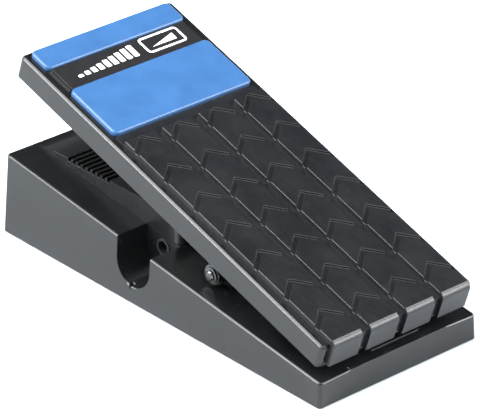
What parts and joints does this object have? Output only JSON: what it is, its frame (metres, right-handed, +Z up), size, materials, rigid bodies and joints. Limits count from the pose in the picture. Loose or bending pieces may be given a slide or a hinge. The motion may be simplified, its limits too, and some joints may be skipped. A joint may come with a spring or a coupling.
{
  "type": "volume pedal",
  "caption": "Rocking foot pedal for instrument volume: a treadle on a wedge base turns a potentiometer through a toothed sector and pinion.",
  "frame": {"origin": "on the floor, at the middle of the pedal's length and width", "axes": "+Z up, +Y from heel to toe, +X to the player's right"},
  "size_m": [0.101, 0.2336, 0.1027],
  "materials": {
    "moulded_shell": "satin moulded, lightly textured",
    "cover_sheet": "semi-matt black paint",
    "stop_rubber": "matt",
    "fastener_steel": "zinc plated",
    "jack_plastic": "matt",
    "contact_brass": "bright",
    "axle_steel": "turned, bright",
    "nylon": "natural nylon",
    "tread_rubber": "fine grained, moulded",
    "blue_pad": "satin, soft edged",
    "label": "satin with white printed marks",
    "pot_metal": "plain plated case",
    "wire_cover": "insulated wire"
  },
  "bodies": {
    "base": {"base_shell": "moulded_shell", "bottom_cover": "cover_sheet", "rubber_feet": "stop_rubber", "cover_screws": "fastener_steel", "output_jack": "jack_plastic", "output_jack_contacts": "contact_brass", "input_jack": "jack_plastic", "input_jack_contacts": "contact_brass", "pivot_axle": "axle_steel", "axle_clips": "axle_steel", "axle_washers": "axle_steel", "spring_washers": "axle_steel", "pot_case": "pot_metal", "pot_bushing": "contact_brass", "pot_nut": "fastener_steel", "pot_washer": "fastener_steel", "pot_terminals": "contact_brass", "signal_wires": "wire_cover"},
    "treadle": {"treadle": "moulded_shell", "pivot_bushes": "nylon", "tread_mat": "tread_rubber", "toe_pad": "blue_pad", "toe_strip": "blue_pad", "label_plate": "label", "rack_sector": "nylon", "sector_screws": "fastener_steel", "heel_bumpers": "stop_rubber", "toe_bumpers": "stop_rubber"},
    "pot_rotor": {"pot_shaft": "axle_steel", "pinion_gear": "contact_brass", "pinion_grub_screw": "fastener_steel"}
  },
  "joints": [
    {"name": "treadle_tilt", "type": "hinge", "parent": "base", "child": "treadle", "pos_m": [0, -0.0273, 0.0314], "axis": [-1, 0, 0], "range_deg": [0, 17.5]},
    {"name": "pot_turn", "type": "hinge", "parent": "base", "child": "pot_rotor", "pos_m": [0, 0.0527, 0.0314], "axis": [1, 0, 0], "range_deg": [0, 262.5]}
  ],
  "couplings": [
    {"joint": "pot_turn", "follows": "treadle_tilt", "ratio": 15}
  ]
}
